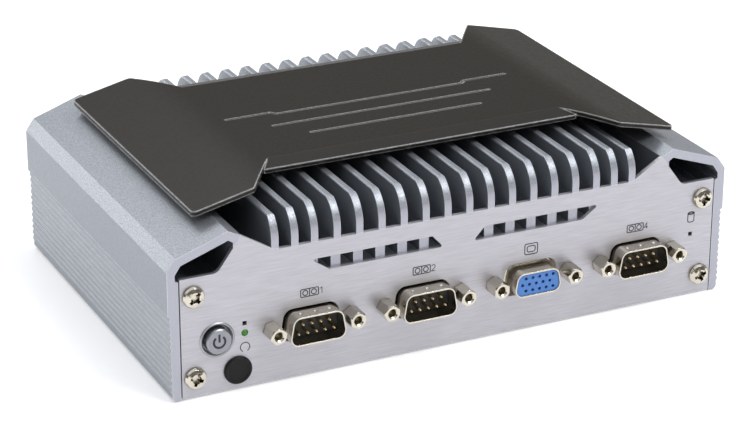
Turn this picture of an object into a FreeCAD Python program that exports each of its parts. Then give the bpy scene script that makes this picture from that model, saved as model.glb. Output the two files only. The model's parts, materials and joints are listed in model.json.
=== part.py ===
import FreeCAD, Part
import math
import os

# Fanless industrial computer, millimetres.
# Frame: +Z up, -Y is the front with the serial and video connectors, X across.
# The origin lies on the resting surface, under the middle of the whole outline.

# ---------------------------------------------------------------- driving dimensions

# Chassis: one aluminium extrusion, pushed along Y, with its ends milled for the panels
case_width = 182.8
case_depth = 121.0
wall_thickness = 3.4            # side wall beside the panels
band_drop = 12.1                # from the fin tops down to the top of the smooth band
band_bottom = 26.6              # where the smooth band meets the ribbed flank
flank_inset = 0.5               # the ribbed flank lies this far inside the smooth band
rib_count = 12
rib_pitch = 2.0
rib_depth = 0.35
heel_radius = 1.6               # rounded outer bottom edge
deck_thickness = 3.2            # floor between the fins
deck_clearance = 1.8            # above the tallest connector
shoulder_drop = 3.7             # small facet above the band, height and width
shoulder_width = 2.7
wing_width = 16.0               # sloping top of each hollow side wing
wing_rise = 5.6
crest_width = 4.0               # facet that falls from the wing's crest to the fins
crest_drop = 2.0
wing_skin = 2.6                 # wall thickness round the hollow wing
duct_wall = 2.5                 # inner upright wall of the hollow wing
duct_step = 1.0                 # the duct is wider than the panel recess by this
duct_chamfer = 1.8

# Cooling fins, all part of the extrusion
inner_fin_pairs = 7
outer_fin_pairs = 2
outer_pitch_share = 0.866       # outer fins stand closer, as a share of the inner pitch
fin_wing_gap = 10.25            # from the last fin's middle to the wing
fin_thickness = 2.2
fin_root_thickness = 3.0
fin_root_height = 5.5
fin_taper = 3.5                 # height over which the root thins to the blade
fin_height = 21.0
fin_step_down = 0.7             # each outer fin is lower than its inner neighbour
fin_edge = 0.3                  # chamfer along the fin tips
fin_nose_radius = 9.2           # large arc at both ends of each fin

# End panels
panel_thickness = 1.3
panel_gap = 0.35                # between a panel and the walls beside it
panel_bottom = 0.55
panel_shoulder_drop = 2.9       # below the smooth band's top, beside the corner openings
panel_fin_rise = 1.1            # above it, where the fins rise over the panel
peak_inner_run = 10.2           # sloping edge from the fin line up to the peak
peak_drop_run = 7.5             # sloping edge from the peak down to the shoulder
corner_radius = 3.0
slot_lift = 0.7                # above the deck
slot_margin = 5.3               # below the fin line
slot_inner_low = 4.9
slot_inner_high = 8.6
slot_outer_low = 41.7
slot_outer_high = 47.4
slot_radius = 0.5

# Screws and the ports that they bite into
panel_screw_inset = 7.7         # from the case's side to the screw's axis
panel_screw_drop = 5.75         # upper screws, below the panel's shoulder
port_gap = 0.3                  # between the lower screw ports and the main board
screw_radius = 1.25
screw_clearance = 0.4
screw_head_radius = 3.3
screw_head_height = 1.9
screw_recess_width = 1.0
screw_length = 8.0
port_wall = 1.35

# Top cover: one folded sheet that floats over the fins
cover_thickness = 1.5
cover_gap = 3.5                 # between the fins and the sheet
cover_end_inset = 10.5          # from the case's front to the cover's wings
cover_side_inset = 12.4         # from the case's side to the cover's
cover_bend_start = 51.0         # from the middle to where the wings start to bend
cover_bend_radius = 50.0
cover_wing_angle = 13.0
cover_wing_inner = 60.0         # inner corner of each wing's front edge
cover_waist = 48.4              # half width of the front and rear lips at their bend
cover_waist_inset = 27.9        # from the case's front to the lip's bend line
lip_length = 5.4
lip_angle = 13.0
cover_corner_radius = 1.6
groove_width = 1.1
groove_depth = 0.55
groove_spacing = 9.6
groove_half_lengths = [47.4, 36.4, 28.3]
groove_jog_at = 31.5
groove_jog = 1.7

# Pillars that carry the cover, between the fins
pillar_radius = 2.2
pillar_gap = 0.2                # spot-face between the fin roots, round each pillar
pillar_across = 6               # gap between fins, counted from the middle
pillar_reach = 18.0             # front to back, from the middle

# Bottom plate
bottom_thickness = 1.5
bottom_height = 0.8
ledge_thickness = 1.9
bottom_screw_inset = 15.5
mount_spacing = 75.0            # four threaded holes for a wall or rail bracket
mount_thread_radius = 1.65
mount_nut_radius = 3.6
mount_nut_height = 2.2

# Main board
board_thickness = 1.6
board_side_gap = 1.5
board_end_gap = 1.0
standoff_height = 7.1
standoff_side_inset = 11.0
standoff_end_inset = 16.5
standoff_radius = 2.6
board_screw_bite = 3.0

# D-sub connectors
connector_height = 16.9
com_shares = {"com1": -0.5197, "com2": -0.1269, "com4": 0.6641}    # of the half width
vga_share = 0.2670
rear_com_share = -0.3720
jack_spacing = 24.99
d_slope = 10.0                  # degrees, sides of the D
male_half_width = 8.75          # inside the wide side
male_half_height = 4.1
male_reach = 5.5                # shell mouth in front of the panel
female_half_width = 7.7
female_half_height = 3.45
female_reach = 5.0
shell_wall = 0.45
male_root_radius = 0.5
female_root_radius = 1.1
d_corner_radius = 2.2
cutout_half_width = 10.1
cutout_half_height = 5.1
cutout_corner_radius = 3.2
flange_width = 30.8
flange_height = 12.4
flange_thickness = 0.6
housing_depth = 9.5
male_dents = 3                  # spring dents on top of each male shell
dent_pitch = 4.6
dent_radius = 1.3
dent_inset = 2.4
dent_depth = 0.27
pin_radius = 0.5
pin_pitch = 2.77
pin_row = 2.84
pin_reach = 4.2
insert_reach = 0.2
socket_radius = 0.5
socket_pitch = 2.29
socket_row = 1.98
socket_depth = 3.5
jack_across_flats = 4.75
jack_reach = 5.9
jack_bore_radius = 1.15
jack_bore_depth = 5.0
jack_mouth = 0.45               # countersink round the bore
jack_turn = 23.0                # degrees between one jackscrew's flats and the next one's
stud_radius = 1.4
stud_reach = 3.0                # behind the connector's flange
stud_clearance = 0.2

# Power button, status lamps and the blanking plug
button_share = -0.8397
button_height = 17.1
bezel_radius = 5.4
bezel_rise = 0.35
bezel_neck_radius = 4.9
bezel_hole_radius = 4.4
bezel_dish = 0.45
button_radius = 3.9
button_reach = 1.9
button_collar_radius = 5.0
button_collar_thickness = 0.6
button_travel = 1.5
button_play = 0.2
plunger_radius = 2.5
plunger_length = 4.0
plunger_clearance = 0.15
switch_half_width = 5.4
switch_back = 2.0
status_share = -0.7462
status_lamp_height = 17.5
status_window_height = 20.5
disk_share = 0.8764
lamp_radius = 1.0
window_size = 1.3
lamp_holder_width = 4.0
lamp_holder_depth = 5.0
plug_share = -0.7724
plug_height = 6.3
plug_radius = 4.3
plug_head = 0.9
plug_neck_radius = 3.5
plug_skirt_radius = 3.9

# Rear connectors
power_inlet_share = -0.7221
power_inlet_width = 15.6
power_inlet_height = 9.2
power_pin_pitch = 3.81
power_inlet_depth = 11.0
power_mouth_depth = 8.0
power_inlet_wall = 1.0
lan_shares = {"lan_jack_1": -0.0219, "lan_jack_2": 0.1751}
lan_width = 15.6
lan_height = 13.4
lan_depth = 21.0
lan_mouth_width = 11.9
lan_mouth_height = 7.6
lan_mouth_depth = 12.0
usb_shares = {"usb_stack_1": 0.3884, "usb_stack_2": 0.5744}
usb_width = 13.2
usb_height = 15.6
usb_depth = 17.0
usb_mouth_width = 12.4
usb_mouth_height = 5.2
usb_pitch = 7.4
usb_tongue_thickness = 1.9
hdmi_share = 0.7877
hdmi_width = 15.2
hdmi_height = 6.0
hdmi_depth = 12.0
hdmi_mouth_depth = 8.2
hdmi_slope = 1.6                # cut corners at the bottom of its mouth
lan_mouth_lift = 1.8
lan_notch_width = 6.0
lan_notch_height = 1.5
lan_notch_depth = 8.0
usb_back_wall = 4.0
socket_wall = 0.45
socket_reach = 0.8              # sockets stand in front of the rear panel by this
socket_gap = 0.25               # between a socket and its cut-out

# Parts on the board
cpu_offset = 5.5                # right of the middle between the two modules
cpu_size = 28.0
cpu_height = 1.6
die_width = 14.0
die_length = 12.4
pad_thickness = 0.5
spreader_size = 32.0
memory_side_gap = 4.4           # between the right wall and the memory socket
memory_y = -2.0
memory_length = 67.6
memory_width = 30.0
memory_thickness = 1.2
memory_lift = 2.6
memory_bite = 2.0               # the module reaches this far into its socket
memory_socket_depth = 7.0
memory_socket_height = 5.2
memory_arm_width = 2.4
memory_arm_length = 26.0
memory_arm_gap = 0.4
memory_chips = 4
memory_chip_pitch = 15.0
memory_chip_width = 12.0
memory_chip_length = 9.0
chip_height = 1.1
ssd_screw_gap = 0.2             # between its socket and the board screws' heads
ssd_end_inset = 25.5            # from the case's back
ssd_length = 60.0
ssd_width = 22.0
ssd_thickness = 0.8
ssd_lift = 2.0
ssd_bite = 1.5
ssd_socket_depth = 6.0
ssd_socket_height = 3.8
ssd_chips = 2
ssd_chip_pitch = 24.0
ssd_chip_width = 14.0
ssd_chip_length = 16.0
ssd_post_radius = 2.5
ssd_screw_radius = 1.1
battery_end_inset = 23.5        # from the case's front
battery_gap = 0.5
coin_radius = 10.0
coin_height = 3.2
holder_wall = 1.5
holder_floor = 1.0
inductor_gap = 3.5              # beside the storage module
inductor_rows = [-12.0, -4.0, 4.0, 12.0]
inductor_size = 7.0
inductor_height = 4.0
capacitor_pitch = 10.0
capacitor_y = 32.0
capacitor_radius = 3.15
capacitor_height = 7.0

# ---------------------------------------------------------------- derived places

half_width = case_width / 2
half_depth = case_depth / 2
front = -half_depth
rear = half_depth
panel_back = panel_thickness
wall_inner = half_width - wall_thickness
panel_half = wall_inner - panel_gap
bottom_top = bottom_height + bottom_thickness
board_bottom = bottom_top + standoff_height
board_top = board_bottom + board_thickness
deck_bottom = board_top + usb_height + deck_clearance
deck_top = deck_bottom + deck_thickness
fin_top = deck_top + fin_height
band_height = fin_top - band_drop
panel_shoulder = band_height - panel_shoulder_drop
panel_fin_line = band_height + panel_fin_rise
slot_low = deck_top + slot_lift
slot_high = panel_fin_line - slot_margin
port_radius = screw_radius + port_wall
panel_screw_low = board_bottom - port_gap - port_radius
panel_screw_high = panel_shoulder - panel_screw_drop
screw_x = half_width - panel_screw_inset
crest_x = half_width - shoulder_width - wing_width
crest_height = band_height + shoulder_drop + wing_rise
duct_outer = crest_x - crest_width
peak_x = duct_outer
peak_height = crest_height - crest_drop
fin_line_x = peak_x - peak_inner_run
shoulder_x = peak_x + peak_drop_run
cover_under = fin_top + cover_gap
cover_top = cover_under + cover_thickness
cover_length = case_depth - 2 * cover_end_inset
cover_width = case_width - 2 * cover_side_inset
cover_waist_length = case_depth - 2 * cover_waist_inset
inner_fin_pitch = (duct_outer - fin_wing_gap) / (inner_fin_pairs - 0.5 + outer_fin_pairs * outer_pitch_share)
outer_fin_pitch = inner_fin_pitch * outer_pitch_share
com_places = {name: share * half_width for name, share in com_shares.items()}
vga_place = vga_share * half_width
rear_com_place = rear_com_share * half_width
button_x = button_share * half_width
status_x = status_share * half_width
disk_x = disk_share * half_width
plug_x = plug_share * half_width
power_inlet_x = power_inlet_share * half_width
lan_places = {name: share * half_width for name, share in lan_shares.items()}
usb_places = {name: share * half_width for name, share in usb_shares.items()}
hdmi_x = hdmi_share * half_width
standoff_across = wall_inner - standoff_side_inset
standoff_reach = half_depth - standoff_end_inset
bottom_screw_reach = half_depth - bottom_screw_inset
board_half_width = wall_inner - board_side_gap
board_half_depth = half_depth - panel_thickness - board_end_gap
memory_arm_x = memory_length / 2 + memory_arm_gap + memory_arm_width / 2
memory_x = wall_inner - memory_side_gap - memory_arm_x - memory_arm_width / 2
ssd_y = rear - ssd_end_inset - ssd_length / 2
ssd_x = screw_head_radius + ssd_screw_gap + ssd_width / 2 + 0.5 - standoff_across
cpu_x = (memory_x - memory_arm_x + ssd_x + ssd_width / 2) / 2 + cpu_offset
battery_x = ssd_x + ssd_width / 2 + battery_gap + coin_radius + holder_wall
battery_y = front + battery_end_inset
inductor_x = ssd_x + ssd_width / 2 + inductor_gap + inductor_size / 2


def vec(x, y, z):
    return FreeCAD.Vector(x, y, z)


# ---------------------------------------------------------------- shape helpers

def box(x0, x1, y0, y1, z0, z1):
    return Part.makeBox(x1 - x0, y1 - y0, z1 - z0, vec(x0, y0, z0))


def rod(radius, start, end):
    return Part.makeCylinder(radius, (end - start).Length, start, end - start)


def rounded_wire(corners, radii):
    """Closed outline through corners, each rounded by its own radius (0 keeps it sharp)."""
    edges = []
    stops = []
    count = len(corners)
    for i in range(count):
        corner = corners[i]
        to_last = (corners[i - 1] - corner).normalize()
        to_next = (corners[(i + 1) % count] - corner).normalize()
        radius = radii[i]
        if radius == 0:
            stops.append((corner, None, corner))
            continue
        half_angle = to_last.getAngle(to_next) / 2
        tangent = radius / math.tan(half_angle)
        middle = (to_last + to_next).normalize()
        apex = corner + middle * (radius / math.sin(half_angle) - radius)
        stops.append((corner + to_last * tangent, apex, corner + to_next * tangent))
    for i in range(count):
        begin, apex, end = stops[i]
        if apex is not None:
            edges.append(Part.Arc(begin, apex, end).toShape())
        following = stops[(i + 1) % count][0]
        if (following - end).Length > 1e-6:
            edges.append(Part.makeLine(end, following))
    return Part.Wire(edges)


def prism(corners, radii, push):
    """Solid from an outline and a push vector; radii is one number or one per corner."""
    if not isinstance(radii, list):
        radii = [radii] * len(corners)
    return Part.Face(rounded_wire(corners, radii)).extrude(push)


def facing_prism(points, radii, y0, y1):
    """Outline given as (x, z), pushed from y0 to y1."""
    return prism([vec(x, y0, z) for x, z in points], radii, vec(0, y1 - y0, 0))


def plan_prism(points, radii, z0, z1):
    """Outline given as (x, y), pushed from z0 to z1."""
    return prism([vec(x, y, z0) for x, y in points], radii, vec(0, 0, z1 - z0))


def side_prism(points, radii, x0, x1):
    """Outline given as (y, z), pushed from x0 to x1."""
    return prism([vec(x0, y, z) for y, z in points], radii, vec(x1 - x0, 0, 0))


def mirrored(shape, axis):
    return shape.mirror(vec(0, 0, 0), axis)


def both_sides(shape):
    return [shape, mirrored(shape, vec(1, 0, 0))]


def turned_to_rear(shape):
    """The same piece on the rear panel, turned half way round the upright axis."""
    copy = shape.copy()
    copy.rotate(vec(0, 0, 0), vec(0, 0, 1), 180)
    return copy


def joined(shapes):
    result = shapes[0].multiFuse(shapes[1:]) if len(shapes) > 1 else shapes[0]
    return result.removeSplitter()


def revolved(points):
    """Solid of revolution about Y, from (radius, y) points."""
    face = Part.Face(Part.makePolygon([vec(r, y, 0) for r, y in points + points[:1]]))
    return face.revolve(vec(0, 0, 0), vec(0, 1, 0), 360)


def moved(shape, x, y, z):
    copy = shape.copy()
    copy.translate(vec(x, y, z))
    return copy


def d_points(x, z, half_w, half_h):
    """D outline, wide side down."""
    narrow = half_w - 2 * half_h * math.tan(math.radians(d_slope))
    return [(x - half_w, z - half_h), (x + half_w, z - half_h), (x + narrow, z + half_h), (x - narrow, z + half_h)]


def d_prism(x, half_w, half_h, radius, y0, y1):
    return facing_prism(d_points(x, connector_height, half_w, half_h), radius, y0, y1)


# ---------------------------------------------------------------- places that repeat

def fin_places():
    """(x, top height) of each fin on the +X side."""
    places = []
    for i in range(inner_fin_pairs):
        places.append(((i + 0.5) * inner_fin_pitch, fin_top))
    last_x = places[-1][0]
    for i in range(1, outer_fin_pairs + 1):
        places.append((last_x + i * outer_fin_pitch, fin_top - i * fin_step_down))
    return places


def panel_screw_places():
    return [(side * screw_x, z) for side in (-1, 1) for z in (panel_screw_low, panel_screw_high)]


def pillar_places():
    x = pillar_across * inner_fin_pitch
    return [(sx * x, sy * pillar_reach) for sx in (-1, 1) for sy in (-1, 1)]


def bottom_screw_places():
    return [(sx * screw_x, sy * bottom_screw_reach) for sx in (-1, 1) for sy in (-1, 0, 1)]


def mount_places():
    half = mount_spacing / 2
    return [(sx * half, sy * half) for sx in (-1, 1) for sy in (-1, 1)]


def standoff_places():
    return [(sx * standoff_across, sy * standoff_reach) for sx in (-1, 1) for sy in (-1, 0, 1)]


def jack_places(x):
    return [x - jack_spacing / 2, x + jack_spacing / 2]


# ---------------------------------------------------------------- chassis

def flank_points():
    """Ribbed flank from the heel up to the smooth band, as (x, z)."""
    crest = half_width - flank_inset
    points = [(crest, 0)]
    start = band_bottom - rib_count * rib_pitch
    for i in range(rib_count):
        base = start + i * rib_pitch
        points.append((crest - rib_depth, base))
        points.append((crest, base + rib_pitch * 0.35))
        points.append((crest, base + rib_pitch * 0.65))
    points.append((crest - rib_depth, band_bottom))
    points.append((half_width, band_bottom + flank_inset))
    return points


def chassis_section():
    """Solid outline of the +X half, without its duct, as (x, z)."""
    points = [(0, deck_bottom), (wall_inner, deck_bottom), (wall_inner, 0)]
    points += flank_points()
    points += [
        (half_width, band_height),
        (half_width - shoulder_width, band_height + shoulder_drop),
        (crest_x, crest_height),
        (duct_outer, peak_height),
        (duct_outer, deck_top),
        (0, deck_top),
    ]
    radii = [0] * len(points)
    radii[3] = heel_radius
    return points, radii


def duct_section():
    """Hollow inside the wing, as (x, z)."""
    inner_x = duct_outer + duct_wall
    outer_x = wall_inner + duct_step
    slope = wing_rise / wing_width
    under_shoulder = band_height + shoulder_drop - wing_skin + 0.3
    return [
        (inner_x, deck_top),
        (wall_inner, deck_top),
        (wall_inner, panel_shoulder - 0.6),
        (outer_x, panel_shoulder - 0.2),
        (outer_x, band_height - duct_chamfer * 0.7),
        (outer_x - duct_chamfer, under_shoulder),
        (crest_x, under_shoulder + slope * (outer_x - duct_chamfer - crest_x)),
        (inner_x, peak_height - wing_skin + 0.8),
    ]


def fins():
    blades = []
    blade_start = deck_top + fin_root_height + fin_taper
    for x, top in fin_places():
        half = fin_thickness / 2
        root = fin_root_thickness / 2
        section = [
            (x - root, deck_top - 0.5), (x + root, deck_top - 0.5),
            (x + root, blade_start - fin_taper), (x + half, blade_start),
            (x + half, top - fin_edge), (x + half - fin_edge, top),
            (x - half + fin_edge, top), (x - half, top - fin_edge),
            (x - half, blade_start), (x - root, blade_start - fin_taper),
        ]
        blades += both_sides(facing_prism(section, 0, front, rear))
    arc_start = fin_top - fin_nose_rise()
    run = fin_nose_radius - math.sqrt(fin_nose_radius ** 2 - fin_nose_rise() ** 2)
    middle_angle = math.asin(fin_nose_rise() / fin_nose_radius) / 2
    bulge = fin_nose_radius * (1 - math.cos(middle_angle))
    lift = fin_nose_radius * math.sin(middle_angle)
    nose = [
        Part.Arc(vec(-half_width, front, arc_start), vec(-half_width, front + bulge, arc_start + lift),
                 vec(-half_width, front + run, fin_top)).toShape(),
        Part.makeLine(vec(-half_width, front + run, fin_top), vec(-half_width, rear - run, fin_top)),
        Part.Arc(vec(-half_width, rear - run, fin_top), vec(-half_width, rear - bulge, arc_start + lift),
                 vec(-half_width, rear, arc_start)).toShape(),
        Part.makeLine(vec(-half_width, rear, arc_start), vec(-half_width, rear, 0)),
        Part.makeLine(vec(-half_width, rear, 0), vec(-half_width, front, 0)),
        Part.makeLine(vec(-half_width, front, 0), vec(-half_width, front, arc_start)),
    ]
    side_form = Part.Face(Part.Wire(nose)).extrude(vec(case_width, 0, 0))
    return [blade.common(side_form) for blade in blades]


def fin_nose_rise():
    """Height of the arc at a fin's end: it stops short of a full quarter turn."""
    return fin_nose_radius * 0.913


def screw_ports():
    """Ports along the whole extrusion for the panel screws, and the bottom plate's ledges."""
    solids = []
    for z in (panel_screw_low, panel_screw_high):
        port = rod(port_radius, vec(screw_x, front, z), vec(screw_x, rear, z))
        web = box(screw_x, wall_inner + 0.5, front, rear, z - port_radius * 0.7, z + port_radius * 0.7)
        solids += both_sides(port) + both_sides(web)
    ledge = box(screw_x - port_radius, wall_inner + 0.5, front, rear, bottom_top, bottom_top + ledge_thickness)
    post = box(screw_x - port_radius, screw_x + port_radius, front, rear, deck_bottom, panel_screw_high)
    return solids + both_sides(ledge) + both_sides(post)


def chassis():
    points, radii = chassis_section()
    half = facing_prism(points, radii, front, rear)
    half = half.cut(facing_prism(duct_section(), 0, front - 1, rear + 1))
    body = joined(both_sides(half) + screw_ports() + fins())
    recess = facing_prism(panel_points(panel_gap), panel_radii(), front - 1, front + panel_thickness)
    cuts = [recess, turned_to_rear(recess)]
    for x, z in panel_screw_places():
        cuts.append(rod(screw_radius, vec(x, front - 1, z), vec(x, rear + 1, z)))
    for x, y in pillar_places():
        cuts.append(rod(screw_radius + screw_clearance, vec(x, y, deck_bottom - 1), vec(x, y, deck_top + 1)))
        cuts.append(rod(pillar_radius + pillar_gap, vec(x, y, deck_top), vec(x, y, fin_top + 1)))
    for x, y in bottom_screw_places():
        cuts.append(rod(screw_radius, vec(x, y, 0), vec(x, y, bottom_top + ledge_thickness)))
    return body.cut(Part.makeCompound(cuts)).removeSplitter()


# ---------------------------------------------------------------- panels

def panel_points(grow=0.0):
    """Outline of an end panel as (x, z), grown towards the walls for the milled recess."""
    low = panel_bottom if grow == 0 else -1.0
    right = [
        (panel_half + grow, low),
        (panel_half + grow, panel_shoulder),
        (shoulder_x, panel_shoulder),
        (peak_x, peak_height),
        (fin_line_x, panel_fin_line),
    ]
    return right + [(-x, z) for x, z in reversed(right)]


def panel_radii():
    right = [0, 0, corner_radius, 0, corner_radius]
    return right + right[::-1]


def slot_points():
    return [
        (slot_inner_low, slot_low), (slot_outer_low, slot_low),
        (slot_outer_high, slot_high), (slot_inner_high, slot_high),
    ]


def blank_panel():
    """Panel with its outline, cooling slots and screw holes, at the front."""
    panel = facing_prism(panel_points(), panel_radii(), front, front + panel_thickness)
    cuts = both_sides(facing_prism(slot_points(), slot_radius, front - 1, front + panel_thickness + 1))
    for x, z in panel_screw_places():
        cuts.append(through(screw_radius + screw_clearance, x, z))
    return panel.cut(Part.makeCompound(cuts))


def through(radius, x, z):
    """Round cutter through the front panel."""
    return rod(radius, vec(x, front - 1, z), vec(x, front + panel_thickness + 1, z))


def d_cutters(x):
    cutter = d_prism(x, cutout_half_width, cutout_half_height, cutout_corner_radius,
                     front - 1, front + panel_thickness + 1)
    holes = [through(stud_radius + stud_clearance, jack_x, connector_height) for jack_x in jack_places(x)]
    return [cutter] + holes


def front_panel():
    cuts = []
    for x in list(com_places.values()) + [vga_place]:
        cuts += d_cutters(x)
    cuts.append(through(bezel_neck_radius, button_x, button_height))
    cuts.append(through(lamp_radius + 0.05, status_x, status_lamp_height))
    cuts.append(through(plug_neck_radius + 0.1, plug_x, plug_height))
    half = window_size / 2
    for x in (status_x, disk_x):
        cuts.append(box(x - half, x + half, front - 1, front + panel_thickness + 1,
                        status_window_height - half, status_window_height + half))
    return blank_panel().cut(Part.makeCompound(cuts))


def socket_cutter(x, width, height, z0):
    """Rectangular hole in the rear panel, made at the front and turned round later."""
    gap = socket_gap
    return box(-x - width / 2 - gap, -x + width / 2 + gap, front - 1, front + panel_thickness + 1,
               z0 - gap, z0 + height + gap)


def rear_panel():
    cuts = d_cutters(-rear_com_place)
    cuts.append(socket_cutter(power_inlet_x, power_inlet_width, power_inlet_height, board_top))
    for x in lan_places.values():
        cuts.append(socket_cutter(x, lan_width, lan_height, board_top))
    for x in usb_places.values():
        cuts.append(socket_cutter(x, usb_width, usb_height, board_top))
    cuts.append(socket_cutter(hdmi_x, hdmi_width, hdmi_height, board_top))
    return turned_to_rear(blank_panel().cut(Part.makeCompound(cuts)))


def pan_screw():
    """Pan-head screw along +Y, its head's seat at y = 0, with a cross recess."""
    head = screw_head_height
    profile = [
        (0, -head), (screw_head_radius * 0.55, -head * 0.95), (screw_head_radius * 0.88, -head * 0.68),
        (screw_head_radius, -head * 0.35), (screw_head_radius, 0), (screw_radius, 0),
        (screw_radius, screw_length), (0, screw_length),
    ]
    arm = screw_head_radius * 0.62
    half = screw_recess_width / 2
    floor = -head * 0.2
    recess = [box(-arm, arm, -head - 1, floor, -half, half), box(-half, half, -head - 1, floor, -arm, arm)]
    funnel = revolved([(0, -head - 1), (arm * 0.85, -head - 1), (arm * 0.42, floor), (0, floor)])
    return revolved(profile).cut(Part.makeCompound(recess)).cut(funnel)


def panel_screws():
    screws = []
    for i, (x, z) in enumerate(panel_screw_places()):
        screw = pan_screw()
        screw.rotate(vec(0, 0, 0), vec(0, 1, 0), 20 + 25 * i)
        screws.append(moved(screw, x, front, z))
    return screws


# ---------------------------------------------------------------- cover

def cover_sheet():
    """Sheet bent down softly over the wings, as long and wide as the blank."""
    angle = math.radians(cover_wing_angle)
    bend_x = cover_bend_start
    half = cover_width / 2

    def surface(radius, z):
        """Bend end, bend middle and wing edge for one face of the sheet."""
        drop = cover_bend_radius - radius
        centre = z - radius
        end = vec(bend_x + radius * math.sin(angle), 0, centre + radius * math.cos(angle))
        mid = vec(bend_x + radius * math.sin(angle / 2), 0, centre + radius * math.cos(angle / 2))
        run = half + 2 * drop - end.x
        edge = vec(half + 2 * drop, 0, end.z - run * math.tan(angle))
        return vec(bend_x, 0, z), mid, end, edge

    outer = surface(cover_bend_radius, cover_top)
    inner = surface(cover_bend_radius - cover_thickness, cover_under)
    centre_top = vec(0, 0, cover_top)
    centre_under = vec(0, 0, cover_under)
    edges = [
        Part.makeLine(centre_under, centre_top),
        Part.makeLine(centre_top, outer[0]),
        Part.Arc(outer[0], outer[1], outer[2]).toShape(),
        Part.makeLine(outer[2], outer[3]),
        Part.makeLine(outer[3], inner[3]),
        Part.makeLine(inner[3], inner[2]),
        Part.Arc(inner[2], inner[1], inner[0]).toShape(),
        Part.makeLine(inner[0], centre_under),
    ]
    section = Part.Face(Part.Wire(edges))
    section.translate(vec(0, -cover_length / 2, 0))
    return joined(both_sides(section.extrude(vec(0, cover_length, 0))))


def cover_outline():
    """Blank of the cover seen from above, without its two lips."""
    half = cover_width / 2
    length = cover_length / 2
    waist = cover_waist_length / 2
    quarter = [(half, length), (cover_wing_inner, length), (cover_waist, waist)]
    right = [(x, -y) for x, y in quarter[::-1]] + quarter
    points = right + [(-x, -y) for x, y in right]
    radii = [0.4, cover_corner_radius, cover_corner_radius]
    radii = radii + radii[::-1]
    return points, radii + radii


def cover_lip():
    """Front lip, folded down along the bend line."""
    waist = cover_waist_length / 2
    angle = math.radians(lip_angle)
    run = lip_length * math.cos(angle)
    drop = lip_length * math.sin(angle)
    section = [
        (-waist, cover_top), (-waist - run, cover_top - drop),
        (-waist - run + cover_thickness * math.sin(angle), cover_top - drop - cover_thickness * math.cos(angle)),
        (-waist, cover_under),
    ]
    strip = side_prism(section, 0, -half_width, half_width)
    spread = (cover_wing_inner - cover_waist) / (cover_length / 2 - waist)
    reach = lip_length + 1
    plan = [
        (-cover_waist, -waist), (-cover_waist - spread * reach, -waist - reach),
        (cover_waist + spread * reach, -waist - reach), (cover_waist, -waist),
    ]
    return strip.common(plan_prism(plan, 0, 0, cover_top + 1))


def groove(points):
    """V-shaped engraved line with round ends, through (x, y) points on the cover's flat top."""
    half = groove_width / 2
    slope = groove_depth / half
    top = cover_top + 0.1
    reach = half + 0.1 / slope
    solids = []
    for x, y in points:
        solids.append(Part.makeCone(reach, 0, groove_depth + 0.1, vec(x, y, top), vec(0, 0, -1)))
    for (x0, y0), (x1, y1) in zip(points, points[1:]):
        run = vec(x1 - x0, y1 - y0, 0)
        across = vec(y0 - y1, x1 - x0, 0).normalize() * reach
        start = vec(x0, y0, top)
        solids.append(prism([start - across, start + across, start - vec(0, 0, groove_depth + 0.1)], 0, run))
    return solids


def groove_cutters():
    """Three engraved lines across the middle of the cover, the longest with two small jogs."""
    cutters = []
    for i, reach in enumerate(groove_half_lengths):
        y = -i * groove_spacing
        if i > 0:
            cutters += groove([(-reach, y), (reach, y)])
            continue
        low = y - groove_jog / 2
        high = y + groove_jog / 2
        right = [(groove_jog_at, low), (groove_jog_at + groove_jog, high), (reach, high)]
        cutters += groove([(-x, yy) for x, yy in right[::-1]] + right)
    return cutters


def top_cover():
    points, radii = cover_outline()
    sheet = cover_sheet().common(plan_prism(points, radii, 0, cover_top + 1))
    lip = cover_lip()
    sheet = joined([sheet, lip, mirrored(lip, vec(0, 1, 0))])
    for cutter in groove_cutters():
        sheet = sheet.cut(cutter)
    return sheet


def cover_pillars():
    pillars = []
    for x, y in pillar_places():
        pillar = rod(pillar_radius, vec(x, y, deck_top), vec(x, y, cover_under))
        pillars.append(pillar.cut(rod(screw_radius, vec(x, y, deck_top), vec(x, y, deck_top + screw_length))))
    return pillars


def upward_screw(length):
    screw = revolved([
        (0, -screw_head_height), (screw_head_radius * 0.7, -screw_head_height),
        (screw_head_radius, -screw_head_height * 0.4), (screw_head_radius, 0),
        (screw_radius, 0), (screw_radius, length), (0, length),
    ])
    screw.rotate(vec(0, 0, 0), vec(1, 0, 0), 90)
    return screw


def cover_screws():
    length = deck_thickness + screw_length - 1
    return [moved(upward_screw(length), x, y, deck_bottom) for x, y in pillar_places()]


# ---------------------------------------------------------------- bottom plate and board

def countersunk(x, y):
    """Countersunk screw from below, head flush with the bottom plate."""
    screw = revolved([
        (0, 0), (screw_head_radius, 0), (screw_radius, bottom_thickness),
        (screw_radius, bottom_thickness + ledge_thickness), (0, bottom_thickness + ledge_thickness),
    ])
    screw.rotate(vec(0, 0, 0), vec(1, 0, 0), 90)
    return moved(screw, x, y, bottom_height)


def bottom_plate():
    reach = half_depth - panel_thickness - panel_gap
    plate = box(-panel_half, panel_half, -reach, reach, bottom_height, bottom_top)
    cuts = [countersunk(x, y) for x, y in bottom_screw_places()]
    for x, y in mount_places():
        cuts.append(rod(mount_thread_radius, vec(x, y, 0), vec(x, y, bottom_top + 1)))
    return plate.cut(Part.makeCompound(cuts))


def bottom_screws():
    slot = 0.5
    screws = []
    for x, y in bottom_screw_places():
        arm = screw_head_radius * 0.5
        cross = [box(x - arm, x + arm, y - slot / 2, y + slot / 2, 0, bottom_height + 0.8),
                 box(x - slot / 2, x + slot / 2, y - arm, y + arm, 0, bottom_height + 0.8)]
        screws.append(countersunk(x, y).cut(Part.makeCompound(cross)))
    return screws


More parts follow.
